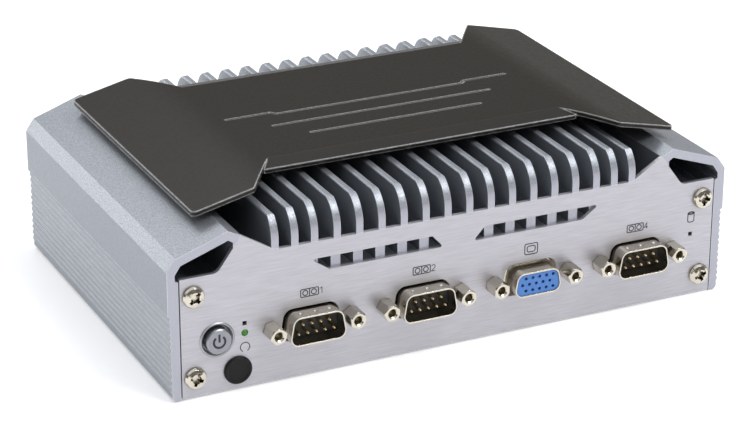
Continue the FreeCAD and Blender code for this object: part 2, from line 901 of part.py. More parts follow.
def mounting_nuts():
    nuts = []
    for x, y in mount_places():
        nut = rod(mount_nut_radius, vec(x, y, bottom_top), vec(x, y, bottom_top + mount_nut_height))
        nuts.append(nut.cut(rod(mount_thread_radius, vec(x, y, 0), vec(x, y, board_top))))
    return nuts


def motherboard():
    board = box(-board_half_width, board_half_width, -board_half_depth, board_half_depth, board_bottom, board_top)
    holes = [rod(screw_radius + screw_clearance, vec(x, y, 0), vec(x, y, board_top + 1)) for x, y in standoff_places()]
    return board.cut(Part.makeCompound(holes))


def board_standoffs():
    posts = []
    for x, y in standoff_places():
        post = rod(standoff_radius, vec(x, y, bottom_top), vec(x, y, board_bottom))
        posts.append(post.cut(rod(screw_radius, vec(x, y, bottom_top + 1), vec(x, y, board_bottom))))
    return posts


def board_screws():
    screws = []
    for x, y in standoff_places():
        screw = upward_screw(board_thickness + board_screw_bite)
        screw.rotate(vec(0, 0, 0), vec(1, 0, 0), 180)
        screws.append(moved(screw, x, y, board_top))
    return screws


# ---------------------------------------------------------------- D-sub connectors

def d_shell(x, half_w, half_h, reach, root_radius, dents):
    """Plated shell with its mounting flange behind the front panel."""
    flange_front = front + panel_thickness
    flange_rear = flange_front + flange_thickness
    outer = d_prism(x, half_w + shell_wall, half_h + shell_wall, d_corner_radius + shell_wall,
                    front - reach, flange_front + flange_thickness / 2)
    flange = box(x - flange_width / 2, x + flange_width / 2, flange_front, flange_rear,
                 connector_height - flange_height / 2, connector_height + flange_height / 2)
    shell = flange.fuse(outer)
    root = [edge for edge in shell.Edges if lies_at(edge, flange_front) and inside_cutout(edge, x)]
    shell = shell.makeFillet(root_radius, root)
    cuts = [d_prism(x, half_w, half_h, d_corner_radius, front - reach - 1, flange_rear + 1)]
    for jack_x in jack_places(x):
        cuts.append(rod(stud_radius, vec(jack_x, flange_front - 1, connector_height),
                        vec(jack_x, flange_rear + 1, connector_height)))
    top = connector_height + half_h + shell_wall
    for i in range(dents):
        dent_x = x + (i - (dents - 1) / 2) * dent_pitch
        centre = vec(dent_x, front - reach + dent_inset, top + dent_radius - dent_depth)
        cuts.append(Part.makeSphere(dent_radius, centre))
    return shell.cut(Part.makeCompound(cuts))


def male_shell(x):
    return d_shell(x, male_half_width, male_half_height, male_reach, male_root_radius, male_dents)


def lies_at(edge, y):
    bounds = edge.BoundBox
    return abs(bounds.YMin - y) < 1e-4 and abs(bounds.YMax - y) < 1e-4


def inside_cutout(edge, x):
    bounds = edge.BoundBox
    return abs(bounds.XMin - x) < cutout_half_width and abs(bounds.XMax - x) < cutout_half_width


def stud_bores(x):
    y0 = front + panel_thickness
    return [rod(stud_radius, vec(jack_x, y0, connector_height), vec(jack_x, y0 + stud_length(), connector_height))
            for jack_x in jack_places(x)]


def stud_length():
    return flange_thickness + stud_reach


def housing(x):
    """Plastic block behind the flange that stands on the board."""
    y0 = front + panel_thickness + flange_thickness
    block = box(x - flange_width / 2, x + flange_width / 2, y0, y0 + housing_depth,
                board_top, connector_height + cutout_half_height)
    return block.cut(Part.makeCompound(stud_bores(x)))


def pin_places(x):
    places = []
    for row, count in ((-0.5, 5), (0.5, 4)):
        for i in range(count):
            places.append((x + (i - (count - 1) / 2) * pin_pitch, connector_height + row * pin_row))
    return places


def male_insert(x):
    tongue = d_prism(x, male_half_width, male_half_height, d_corner_radius,
                     front - insert_reach, front + panel_thickness + flange_thickness)
    block = joined([tongue, housing(x)])
    return block.cut(Part.makeCompound(male_pins(x)))


def male_pins(x):
    pins = []
    for px, pz in pin_places(x):
        shank = rod(pin_radius, vec(px, front - pin_reach + pin_radius, pz), vec(px, front + 6, pz))
        tip = Part.makeCone(pin_radius * 0.4, pin_radius, pin_radius, vec(px, front - pin_reach, pz), vec(0, 1, 0))
        pins.append(shank.fuse(tip))
    return pins


def female_insert(x):
    tongue = d_prism(x, female_half_width, female_half_height, d_corner_radius,
                     front - female_reach + 0.3, front + panel_thickness + flange_thickness)
    holes = []
    for row in (-1, 0, 1):
        shift = -socket_pitch / 4 if row == 0 else socket_pitch / 4
        for i in range(-2, 3):
            hx = x + shift + i * socket_pitch
            hz = connector_height + row * socket_row
            holes.append(rod(socket_radius, vec(hx, front - female_reach, hz), vec(hx, front - female_reach + socket_depth, hz)))
    return joined([tongue, housing(x)]).cut(Part.makeCompound(holes))


def jackscrew(turn):
    """Hexagon jackscrew along +Y, its shoulder at y = 0."""
    corner = jack_across_flats / math.sqrt(3)
    points = [(corner * math.cos(math.radians(turn + 60 * i)), corner * math.sin(math.radians(turn + 60 * i)))
              for i in range(6)]
    hexagon = facing_prism(points, 0, -jack_reach, 0)
    flat = jack_across_flats / 2
    nose = flat * 0.94
    turned_form = revolved([
        (0, -jack_reach), (nose, -jack_reach), (corner, -jack_reach + (corner - nose) * 0.7), (corner, 0), (0, 0),
    ])
    stud = rod(stud_radius, vec(0, 0, 0), vec(0, panel_thickness + stud_length(), 0))
    screw = hexagon.common(turned_form).fuse(stud)
    bore = revolved([
        (0, -jack_reach - 1), (jack_bore_radius + jack_mouth, -jack_reach - 1),
        (jack_bore_radius + jack_mouth, -jack_reach), (jack_bore_radius, -jack_reach + jack_mouth),
        (jack_bore_radius, -jack_reach + jack_bore_depth), (0, -jack_reach + jack_bore_depth),
    ])
    return screw.cut(bore)


def jackscrews(places):
    screws = []
    for i, x in enumerate(places):
        for j, jack_x in enumerate(jack_places(x)):
            screws.append(moved(jackscrew(jack_turn * (2 * i + j + 0.5)), jack_x, front, connector_height))
    return screws


# ---------------------------------------------------------------- button, lamps and plug

def power_button_bezel():
    """Dished ring pressed into the front panel."""
    neck = bezel_neck_radius
    ring = revolved([
        (bezel_hole_radius, panel_thickness), (bezel_hole_radius, bezel_dish - bezel_rise),
        (bezel_hole_radius + 0.45, -bezel_rise), (bezel_radius - 0.3, -bezel_rise),
        (bezel_radius, -bezel_rise * 0.3), (bezel_radius, 0), (neck, 0), (neck, panel_thickness),
    ])
    return moved(ring, button_x, front, button_height)


def power_button():
    """Cap, collar and plunger in one piece, pushed along +Y."""
    collar = panel_thickness + button_play
    collar_back = collar + button_collar_thickness
    cap = revolved([
        (0, -button_reach), (button_radius - 0.35, -button_reach), (button_radius, -button_reach + 0.35),
        (button_radius, collar), (button_collar_radius, collar), (button_collar_radius, collar_back),
        (plunger_radius, collar_back), (plunger_radius, collar_back + plunger_length), (0, collar_back + plunger_length),
    ])
    return moved(cap, button_x, front, button_height)


def power_switch():
    """Switch body on the board, with the bore that guides the plunger."""
    face = front + panel_thickness + button_play + button_collar_thickness + button_travel + button_play
    depth = plunger_length + switch_back
    body = box(button_x - switch_half_width, button_x + switch_half_width, face, face + depth,
               board_top, button_height + switch_half_width)
    bore = rod(plunger_radius + plunger_clearance, vec(button_x, face - 1, button_height),
               vec(button_x, face + plunger_length + 0.4, button_height))
    return body.cut(bore)


def lamp_holder(x, lamp_heights):
    """Black block on the board that carries lamps behind their holes in the panel."""
    half = lamp_holder_width / 2
    y0 = front + panel_thickness + board_end_gap
    block = box(x - half, x + half, y0, y0 + lamp_holder_depth, board_top, status_window_height + half)
    holes = [rod(lamp_radius, vec(x, y0 - 1, z), vec(x, y0 + 2.5, z)) for z in lamp_heights]
    return block.cut(Part.makeCompound(holes))


def lamp(x, z, tip):
    """Lamp with a domed end, from its holder forwards to tip."""
    y1 = front + panel_thickness + board_end_gap + 2.5
    body = rod(lamp_radius, vec(x, tip + lamp_radius * 0.4, z), vec(x, y1, z))
    dome = Part.makeCone(lamp_radius * 0.6, lamp_radius, lamp_radius * 0.4, vec(x, tip, z), vec(0, 1, 0))
    return body.fuse(dome)


def blanking_plug():
    """Snap-in rubber plug with a slightly dished head."""
    skirt = panel_thickness + 0.1
    plug = revolved([
        (0, -plug_head * 0.7), (plug_radius * 0.72, -plug_head * 0.7), (plug_radius * 0.82, -plug_head),
        (plug_radius - 0.25, -plug_head), (plug_radius, -plug_head * 0.6), (plug_radius, 0),
        (plug_neck_radius, 0), (plug_neck_radius, skirt), (plug_skirt_radius, skirt + 0.3),
        (plug_neck_radius, skirt + 0.8), (0, skirt + 0.8),
    ])
    return moved(plug, plug_x, front, plug_height)


# ---------------------------------------------------------------- rear connectors

def rear_box(x, width, z0, z1, y0, y1):
    """Box behind the rear panel: y0 and y1 are measured inwards from the panel's outer face."""
    return box(x - width / 2, x + width / 2, rear - y1, rear - y0, z0, z1)


def power_inlet():
    """Three-way header for a plug-in terminal block."""
    top = board_top + power_inlet_height
    wall = power_inlet_wall
    body = rear_box(power_inlet_x, power_inlet_width, board_top, top, -socket_reach, power_inlet_depth)
    mouth = rear_box(power_inlet_x, power_inlet_width - 2 * wall, board_top + wall, top - wall,
                     -socket_reach - 1, power_mouth_depth)
    return body.cut(Part.makeCompound([mouth] + power_inlet_pins()))


def power_inlet_pins():
    z = board_top + power_inlet_height / 2
    half = pin_radius
    return [rear_box(power_inlet_x + i * power_pin_pitch, 2 * half, z - half, z + half,
                     power_inlet_wall, power_inlet_depth - power_inlet_wall) for i in (-1, 0, 1)]


def lan_jack(x):
    """Shielded network jack with its latch notch on top."""
    top = board_top + lan_height
    body = rear_box(x, lan_width, board_top, top, -socket_reach, lan_depth)
    low = board_top + lan_mouth_lift
    high = low + lan_mouth_height
    mouth = rear_box(x, lan_mouth_width, low, high, -socket_reach - 1, lan_mouth_depth)
    notch = rear_box(x, lan_notch_width, high - 0.1, high + lan_notch_height, -socket_reach - 1, lan_notch_depth)
    return body.cut(Part.makeCompound([mouth, notch]))


def usb_levels():
    middle = board_top + usb_height / 2
    return [middle - usb_pitch / 2, middle + usb_pitch / 2]


def usb_stack(x):
    """Folded steel shell of a double USB socket."""
    top = board_top + usb_height
    body = rear_box(x, usb_width, board_top, top, -socket_reach, usb_depth)
    half = usb_mouth_height / 2
    mouths = [rear_box(x, usb_mouth_width, z - half, z + half, -socket_reach - 1, usb_depth - usb_back_wall)
              for z in usb_levels()]
    return body.cut(Part.makeCompound(mouths))


def usb_tongues():
    tongues = []
    for x in usb_places.values():
        for z in usb_levels():
            base = z + usb_mouth_height / 2
            tongues.append(rear_box(x, usb_mouth_width - 1.2, base - usb_tongue_thickness, base,
                                    0.6, usb_depth - usb_back_wall))
    return tongues


def hdmi_socket():
    top = board_top + hdmi_height
    body = rear_box(hdmi_x, hdmi_width, board_top, top, -socket_reach, hdmi_depth)
    half = hdmi_width / 2 - socket_wall
    narrow = half - hdmi_slope
    low = board_top + socket_wall
    high = top - socket_wall
    outline = [(-half, high), (half, high), (half, low + hdmi_slope), (narrow, low), (-narrow, low), (-half, low + hdmi_slope)]
    corners = [vec(hdmi_x + x, rear + socket_reach + 1, z) for x, z in outline]
    mouth = prism(corners, 0, vec(0, -hdmi_mouth_depth - socket_reach - 1, 0))
    return body.cut(Part.makeCompound([mouth, hdmi_tongue()]))


def hdmi_tongue():
    z = board_top + hdmi_height / 2
    return rear_box(hdmi_x, hdmi_width - 5.0, z - 0.5, z + 0.5, socket_reach, hdmi_mouth_depth + 1)


# ---------------------------------------------------------------- parts on the board

def on_board(x, y, length_x, length_y, height, lift=0.0):
    z0 = board_top + lift
    return box(x - length_x / 2, x + length_x / 2, y - length_y / 2, y + length_y / 2, z0, z0 + height)


def processor():
    substrate = on_board(cpu_x, 0, cpu_size, cpu_size, cpu_height / 2)
    die = on_board(cpu_x, 0, die_width, die_length, cpu_height / 2, cpu_height / 2)
    return substrate.fuse(die)


def thermal_pad():
    return on_board(cpu_x, 0, die_width, die_length, pad_thickness, cpu_height)


def heat_spreader():
    """Aluminium block that carries the processor's heat up to the deck."""
    lift = cpu_height + pad_thickness
    height = (deck_bottom - board_top - lift) / 2
    foot = on_board(cpu_x, 0, cpu_size, cpu_size, height, lift)
    head = on_board(cpu_x, 0, spreader_size, spreader_size, height, lift + height)
    return joined([foot, head])


def memory_socket():
    """Low socket whose two arms hold the module's sides."""
    edge = memory_y - memory_width / 2
    bar_y = edge + memory_bite - memory_socket_depth / 2
    bar = on_board(memory_x, bar_y, 2 * memory_arm_x + memory_arm_width, memory_socket_depth, memory_socket_height)
    slit = on_board(memory_x, edge + memory_bite, memory_length, 2 * memory_bite, memory_thickness, memory_lift)
    arms = []
    for side in (-1, 1):
        arms.append(on_board(memory_x + side * memory_arm_x, bar_y + memory_arm_length / 2,
                             memory_arm_width, memory_arm_length, memory_lift + memory_thickness))
    return joined([bar] + arms).cut(slit)


def memory_module():
    """Module and the chips on it."""
    solids = [on_board(memory_x, memory_y, memory_length, memory_width, memory_thickness, memory_lift)]
    for i in range(memory_chips):
        x = memory_x + (i - (memory_chips - 1) / 2) * memory_chip_pitch
        solids.append(on_board(x, memory_y + memory_bite, memory_chip_width, memory_chip_length,
                               chip_height, memory_lift + memory_thickness))
    return solids


def ssd_socket():
    edge = ssd_y - ssd_length / 2
    body = on_board(ssd_x, edge + ssd_bite - ssd_socket_depth / 2, ssd_width + 1, ssd_socket_depth, ssd_socket_height)
    return body.cut(on_board(ssd_x, edge + ssd_bite, ssd_width, 2 * ssd_bite, ssd_thickness, ssd_lift))


def ssd_module():
    """Storage module with its half hole for the screw, and the chips on it."""
    y_end = ssd_y + ssd_length / 2
    card = on_board(ssd_x, ssd_y, ssd_width, ssd_length, ssd_thickness, ssd_lift)
    solids = [card.cut(rod(ssd_screw_radius + 0.2, vec(ssd_x, y_end, board_top), vec(ssd_x, y_end, deck_bottom)))]
    for i in range(ssd_chips):
        y = ssd_y + (i - (ssd_chips - 1) / 2) * ssd_chip_pitch
        solids.append(on_board(ssd_x, y, ssd_chip_width, ssd_chip_length, chip_height, ssd_lift + ssd_thickness))
    return solids


def ssd_post():
    y = ssd_y + ssd_length / 2
    return rod(ssd_post_radius, vec(ssd_x, y, board_top), vec(ssd_x, y, board_top + ssd_lift))


def ssd_screw():
    y = ssd_y + ssd_length / 2
    seat = board_top + ssd_lift + ssd_thickness
    shank = rod(ssd_screw_radius, vec(ssd_x, y, board_top + ssd_lift), vec(ssd_x, y, seat))
    return shank.fuse(rod(ssd_post_radius, vec(ssd_x, y, seat), vec(ssd_x, y, seat + 1)))


def battery_holder():
    centre = vec(battery_x, battery_y, board_top)
    cup = Part.makeCylinder(coin_radius + holder_wall, coin_height + holder_floor, centre)
    return cup.cut(Part.makeCylinder(coin_radius + 0.1, coin_height + 1, centre + vec(0, 0, holder_floor)))


def coin_cell():
    return Part.makeCylinder(coin_radius, coin_height, vec(battery_x, battery_y, board_top + holder_floor))


def inductors():
    return [on_board(inductor_x, y, inductor_size, inductor_size, inductor_height) for y in inductor_rows]


def capacitors():
    first = inductor_x + inductor_size / 2
    return [Part.makeCylinder(capacitor_radius, capacitor_height, vec(first + i * capacitor_pitch, capacitor_y, board_top))
            for i in (0, 1)]


# ---------------------------------------------------------------- write the pieces

def all_pieces():
    pieces = {
        "chassis": [chassis()],
        "front_panel": [front_panel()],
        "rear_panel": [rear_panel()],
        "top_cover": [top_cover()],
        "cover_pillars": cover_pillars(),
        "cover_screws": cover_screws(),
        "bottom_plate": [bottom_plate()],
        "bottom_screws": bottom_screws(),
        "mounting_nuts": mounting_nuts(),
        "front_panel_screws": panel_screws(),
        "rear_panel_screws": [turned_to_rear(screw) for screw in panel_screws()],
        "motherboard": [motherboard()],
        "board_standoffs": board_standoffs(),
        "board_screws": board_screws(),
        "power_button": [power_button()],
        "power_button_bezel": [power_button_bezel()],
        "power_switch": [power_switch()],
        "status_lamp": [lamp(status_x, status_lamp_height, front - 0.25)],
        "status_lamp_holder": [lamp_holder(status_x, [status_lamp_height])],
        "disk_lamp": [lamp(disk_x, status_window_height, front + panel_thickness + 0.5)],
        "disk_lamp_holder": [lamp_holder(disk_x, [status_window_height])],
        "blanking_plug": [blanking_plug()],
        "vga_shell": [d_shell(vga_place, female_half_width, female_half_height, female_reach, female_root_radius, 0)],
        "vga_insert": [female_insert(vga_place)],
        "front_jackscrews": jackscrews(list(com_places.values()) + [vga_place]),
        "rear_jackscrews": [turned_to_rear(screw) for screw in jackscrews([-rear_com_place])],
        "power_inlet": [power_inlet()],
        "power_inlet_pins": power_inlet_pins(),
        "usb_tongues": usb_tongues(),
        "hdmi_socket": [hdmi_socket()],
        "hdmi_tongue": [hdmi_tongue()],
        "processor": [processor()],
        "thermal_pad": [thermal_pad()],
        "heat_spreader": [heat_spreader()],
        "memory_socket": [memory_socket()],
        "memory_module": memory_module(),
        "ssd_socket": [ssd_socket()],
        "ssd_module": ssd_module(),
        "ssd_post": [ssd_post()],
        "ssd_screw": [ssd_screw()],
        "battery_holder": [battery_holder()],
        "coin_cell": [coin_cell()],
        "inductors": inductors(),
        "capacitors": capacitors(),
    }
    for name, x in com_places.items():
        pieces[name + "_shell"] = [male_shell(x)]
        pieces[name + "_insert"] = [male_insert(x)]
        pieces[name + "_pins"] = male_pins(x)
    back = -rear_com_place
    pieces["com3_shell"] = [turned_to_rear(male_shell(back))]
    pieces["com3_insert"] = [turned_to_rear(male_insert(back))]
    pieces["com3_pins"] = [turned_to_rear(pin) for pin in male_pins(back)]
    for name, x in lan_places.items():
        pieces[name] = [lan_jack(x)]
    for name, x in usb_places.items():
        pieces[name] = [usb_stack(x)]
    return pieces


os.makedirs("parts", exist_ok=True)
for node, solids in all_pieces().items():
    shape = solids[0] if len(solids) == 1 else Part.makeCompound(solids)
    shape.exportStep("parts/" + node + ".step")
    print(node, len(shape.Solids), round(shape.Volume, 1), shape.isValid())
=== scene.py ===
import bmesh
import bpy
import json
import math
from mathutils import Matrix, Vector


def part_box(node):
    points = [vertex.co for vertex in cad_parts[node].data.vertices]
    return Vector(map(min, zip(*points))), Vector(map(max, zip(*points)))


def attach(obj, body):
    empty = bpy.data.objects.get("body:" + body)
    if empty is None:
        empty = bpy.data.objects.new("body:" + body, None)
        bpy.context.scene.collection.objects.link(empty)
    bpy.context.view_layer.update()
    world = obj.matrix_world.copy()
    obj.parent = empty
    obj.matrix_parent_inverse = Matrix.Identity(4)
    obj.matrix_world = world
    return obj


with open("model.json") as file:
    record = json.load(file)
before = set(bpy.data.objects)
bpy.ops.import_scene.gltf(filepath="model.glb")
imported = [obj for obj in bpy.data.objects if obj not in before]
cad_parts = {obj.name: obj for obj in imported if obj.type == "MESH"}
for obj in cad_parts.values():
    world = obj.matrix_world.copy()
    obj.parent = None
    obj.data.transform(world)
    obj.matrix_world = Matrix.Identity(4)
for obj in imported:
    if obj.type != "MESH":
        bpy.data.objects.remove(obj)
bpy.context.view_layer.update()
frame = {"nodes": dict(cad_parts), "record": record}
nodes = frame["nodes"]
MM = 0.001


# ---------------------------------------------------------------- camera, floor and light

# The camera stands where the fitted view of the photo puts it. Angles are in degrees.
CAMERA_PLACE = (-0.3251, -0.6790, 0.3394)
CAMERA_TURN = 25.72                 # from +Y towards +X
CAMERA_DIP = 23.09                  # below level
CAMERA_ROLL = 0.13
LENS_MM = 125.08
SENSOR_MM = 36.0

# Colour of the surround by the height of the direction: 0 at the horizon, 1 straight up
SURROUND = [
    (0.0, (0.20, 0.19, 0.18)),
    (0.34, (0.14, 0.135, 0.13)),
    (0.52, (0.50, 0.51, 0.54)),
    (0.8, (0.90, 0.92, 0.96)),
]
SURROUND_STRENGTH = 1.0

FLOOR_REACH = 6.0                   # metres from the origin to an edge
FLOOR_DROP = 0.0002                 # below the feet, so that no faces coincide
FLOOR_COLOR = (0.90, 0.90, 0.90)
FLOOR_ROUGHNESS = 0.7
# Painted light on the floor: a darker colour further out and a glow round the object
FLOOR_PAINTED_DIM_COLOR = (0.45, 0.45, 0.46)
FLOOR_PAINTED_GLOW = 0.30                   # painted glow of the floor round the object; it fades to none further out
POOL_SCALE = (0.45, 0.45, 0.45)     # the painted pool of light ends 1 / 0.45 m from the origin
# Where on the pool's gradient (1 in the middle, 0 at its end) the painted darkening and the painted
# glow each start and are full
PAINTED_DIM_RANGE = (0.1, 0.6)
PAINTED_GLOW_RANGE = (0.2, 0.7)

# Each area light: name, place, target, width, height, power and colour
LIGHTS = [
    ("key", (0.55, -0.75, 1.25), (0, 0, 0.03), 0.7, 0.6, 11.5, (1, 1, 1)),
    ("left_fill", (-1.3, -0.2, 0.9), (0, 0, 0.03), 0.9, 0.8, 0.5, (0.96, 0.98, 1.0)),
    ("back_left", (-0.95, 1.35, 0.45), (0, 0, 0.03), 0.9, 0.6, 6.5, (1, 1, 1)),
    ("back_right", (1.0, 1.5, 0.30), (0, 0, 0.05), 0.8, 0.35, 0.2, (1.0, 0.98, 0.95)),
    ("overhead_back", (-0.10, 1.05, 1.15), (0, 0, 0.05), 1.0, 0.5, 4.5, (1, 1, 1)),
]


def add_camera():
    camera_data = bpy.data.cameras.new("camera")
    camera_data.lens = LENS_MM
    camera_data.sensor_width = SENSOR_MM
    camera = bpy.data.objects.new("camera", camera_data)
    turn = math.radians(CAMERA_TURN)
    dip = math.radians(CAMERA_DIP)
    look = Vector((math.sin(turn) * math.cos(dip), math.cos(turn) * math.cos(dip), -math.sin(dip)))
    roll = Matrix.Rotation(math.radians(CAMERA_ROLL), 3, "Z")
    aim = look.to_track_quat("-Z", "Y").to_matrix() @ roll
    camera.matrix_world = Matrix.Translation(CAMERA_PLACE) @ aim.to_4x4()
    bpy.context.collection.objects.link(camera)
    bpy.context.scene.camera = camera


def add_area(name, place, target, width, height, power, color):
    light_data = bpy.data.lights.new(name, "AREA")
    light_data.shape = "RECTANGLE"
    light_data.size = width
    light_data.size_y = height
    light_data.energy = power
    light_data.color = color
    light = bpy.data.objects.new(name, light_data)
    light.location = place
    light.rotation_euler = (Vector(target) - Vector(place)).to_track_quat("-Z", "Y").to_euler()
    bpy.context.collection.objects.link(light)


def add_world():
    """Studio surround: dim round the horizon and bright overhead."""
    world = bpy.data.worlds.new("studio")
    bpy.context.scene.world = world
    world.use_nodes = True
    tree = world.node_tree
    background = tree.nodes["Background"]
    coordinate = tree.nodes.new("ShaderNodeTexCoord")
    split = tree.nodes.new("ShaderNodeSeparateXYZ")
    ramp = tree.nodes.new("ShaderNodeValToRGB")
    tree.links.new(coordinate.outputs["Generated"], split.inputs[0])
    tree.links.new(split.outputs["Z"], ramp.inputs[0])
    tree.links.new(ramp.outputs["Color"], background.inputs["Color"])
    elements = ramp.color_ramp.elements
    for element, (position, color) in zip(elements, (SURROUND[0], SURROUND[-1])):
        element.position = position
        element.color = (*color, 1)
    for position, color in SURROUND[1:-1]:
        elements.new(position).color = (*color, 1)
    background.inputs["Strength"].default_value = SURROUND_STRENGTH


def add_floor():
    mesh = bpy.data.meshes.new("floor")
    quarters = ((-1, -1), (1, -1), (1, 1), (-1, 1))
    corners = [(x * FLOOR_REACH, y * FLOOR_REACH, 0) for x, y in quarters]
    mesh.from_pydata(corners, [], [(0, 1, 2, 3)])
    floor = bpy.data.objects.new("floor", mesh)
    floor.location.z = -FLOOR_DROP
    bpy.context.collection.objects.link(floor)
    paint = Finish("floor_paint", FLOOR_COLOR, 0.0, FLOOR_ROUGHNESS)
    # Painted pool of light: darker further out, glowing round the object
    pool = paint.add("ShaderNodeTexGradient", gradient_type="SPHERICAL")
    paint.link(paint.coordinates(POOL_SCALE), pool.inputs["Vector"])
    paint.tint(paint.spread(pool.outputs["Fac"], 1.0, 0.0, *PAINTED_DIM_RANGE), FLOOR_PAINTED_DIM_COLOR)
    paint.shader.inputs["Emission Color"].default_value = (1.0, 1.0, 1.0, 1)
    glow = paint.spread(pool.outputs["Fac"], 0.0, FLOOR_PAINTED_GLOW, *PAINTED_GLOW_RANGE)
    paint.link(glow, paint.shader.inputs["Emission Strength"])
    floor.data.materials.append(paint.material)


# ---------------------------------------------------------------- materials

NOISE_RANGE = (0.3, 0.7)            # the noise lies mostly between these
MOTTLE_DEPTH = 4                    # how many times the amount the darker colour loses
MOTTLE_COVER = 0.5
BEVEL_SAMPLES = 6
PAINTED_HIGHLIGHT_RANGE = (0.84, 0.995)          # true normal against rounded one: full painted highlight and none
OCCLUSION_SAMPLES = 8
PAINTED_SHADE_RANGE = (0.25, 0.85)        # openness: full painted shade and none
LEAST_GRAIN = 0.06


class Finish:
    """Principled material with a few procedural layers."""

    def __init__(self, name, color, metallic, roughness):
        self.material = bpy.data.materials.new(name)
        self.material.use_nodes = True
        self.tree = self.material.node_tree
        self.shader = self.tree.nodes["Principled BSDF"]
        self.color = color
        self.roughness = roughness
        self.shader.inputs["Base Color"].default_value = (*color, 1)
        self.shader.inputs["Metallic"].default_value = metallic
        self.shader.inputs["Roughness"].default_value = roughness
        self.color_link = None
        self.normal_link = None
        self.place = None

    def add(self, kind, **settings):
        node = self.tree.nodes.new(kind)
        for key, value in settings.items():
            setattr(node, key, value)
        return node

    def link(self, output, socket):
        self.tree.links.new(output, socket)

    def coordinates(self, stretch):
        if self.place is None:
            self.place = self.add("ShaderNodeTexCoord").outputs["Object"]
        mapping = self.add("ShaderNodeMapping")
        mapping.inputs["Scale"].default_value = stretch
        self.link(self.place, mapping.inputs["Vector"])
        return mapping.outputs["Vector"]

    def noise(self, scale, detail, stretch):
        noise = self.add("ShaderNodeTexNoise")
        noise.inputs["Scale"].default_value = scale
        noise.inputs["Detail"].default_value = detail
        self.link(self.coordinates(stretch), noise.inputs["Vector"])
        return noise.outputs["Fac"]

    def spread(self, value, low, high, from_low=NOISE_RANGE[0], from_high=NOISE_RANGE[1]):
        """Maps the range from_low to from_high onto low to high."""
        remap = self.add("ShaderNodeMapRange")
        remap.inputs["From Min"].default_value = from_low
        remap.inputs["From Max"].default_value = from_high
        remap.inputs["To Min"].default_value = low
        remap.inputs["To Max"].default_value = high
        self.link(value, remap.inputs["Value"])
        return remap.outputs["Result"]

    def tint(self, factor, color):
        """Mixes towards a colour by factor."""
        mix = self.add("ShaderNodeMix", data_type="RGBA")
        self.link(factor, mix.inputs["Factor"])
        if self.color_link is None:
            mix.inputs["A"].default_value = (*self.color, 1)
        else:
            self.link(self.color_link, mix.inputs["A"])
        mix.inputs["B"].default_value = (*color, 1)
        self.color_link = mix.outputs["Result"]
        self.link(self.color_link, self.shader.inputs["Base Color"])

    def mottle(self, amount, scale, detail=2.0, stretch=(1, 1, 1)):
        """Slight light and dark variation of the colour."""
        darker = tuple(max(0.0, c * (1 - amount * MOTTLE_DEPTH)) for c in self.color)
        self.tint(self.spread(self.noise(scale, detail, stretch), 0.0, MOTTLE_COVER), darker)

    def worn(self, low, high, scale, detail, stretch=(1, 1, 1)):
        """Roughness that varies from place to place."""
        varied = self.spread(self.noise(scale, detail, stretch), low, high)
        self.link(varied, self.shader.inputs["Roughness"])

    def soft_edges(self, radius, painted_highlight_color=None, strength=1.0):
        """Rounds the edges in the shading; the colour given is painted there as a thin highlight line.
        """
        bevel = self.add("ShaderNodeBevel", samples=BEVEL_SAMPLES)
        bevel.inputs["Radius"].default_value = radius
        self.normal_link = bevel.outputs["Normal"]
        self.link(self.normal_link, self.shader.inputs["Normal"])
        self.link(self.normal_link, self.shader.inputs["Coat Normal"])
        if painted_highlight_color is None:
            return
        # Painted highlight: tints towards the colour given where the rounded normal turns away from the
        # true one
        surface = self.add("ShaderNodeNewGeometry")
        dot = self.add("ShaderNodeVectorMath", operation="DOT_PRODUCT")
        self.link(self.normal_link, dot.inputs[0])
        self.link(surface.outputs["True Normal"], dot.inputs[1])
        self.tint(self.spread(dot.outputs["Value"], strength, 0.0, *PAINTED_HIGHLIGHT_RANGE), painted_highlight_color)

    def painted_crevice_shade(self, distance, color, strength):
        """Paints shade into narrow corners, recesses and bores."""
        shade = self.add("ShaderNodeAmbientOcclusion", samples=OCCLUSION_SAMPLES)
        shade.inputs["Distance"].default_value = distance
        self.tint(self.spread(shade.outputs["AO"], strength, 0.0, *PAINTED_SHADE_RANGE), color)

    def facing(self, axis, low, high):
        """How far a face points along an axis: 0 below low, 1 above high."""
        split = self.add("ShaderNodeSeparateXYZ")
        self.link(self.add("ShaderNodeNewGeometry").outputs["True Normal"], split.inputs[0])
        size = self.add("ShaderNodeMath", operation="ABSOLUTE")
        self.link(split.outputs[axis], size.inputs[0])
        return self.spread(size.outputs["Value"], 0.0, 1.0, low, high)

    def grain(self, strength, scale, depth, detail, stretch=(1, 1, 1), where=None):
        """Fine relief, with little of it where the factor given is 0."""
        bump = self.add("ShaderNodeBump")
        bump.inputs["Strength"].default_value = strength
        if where is not None:
            masked = self.spread(where, LEAST_GRAIN, strength, 0.0, 1.0)
            self.link(masked, bump.inputs["Strength"])
        bump.inputs["Distance"].default_value = depth
        self.link(self.noise(scale, detail, stretch), bump.inputs["Height"])
        if self.normal_link is not None:
            self.link(self.normal_link, bump.inputs["Normal"])
        self.normal_link = bump.outputs["Normal"]
        self.link(self.normal_link, self.shader.inputs["Normal"])


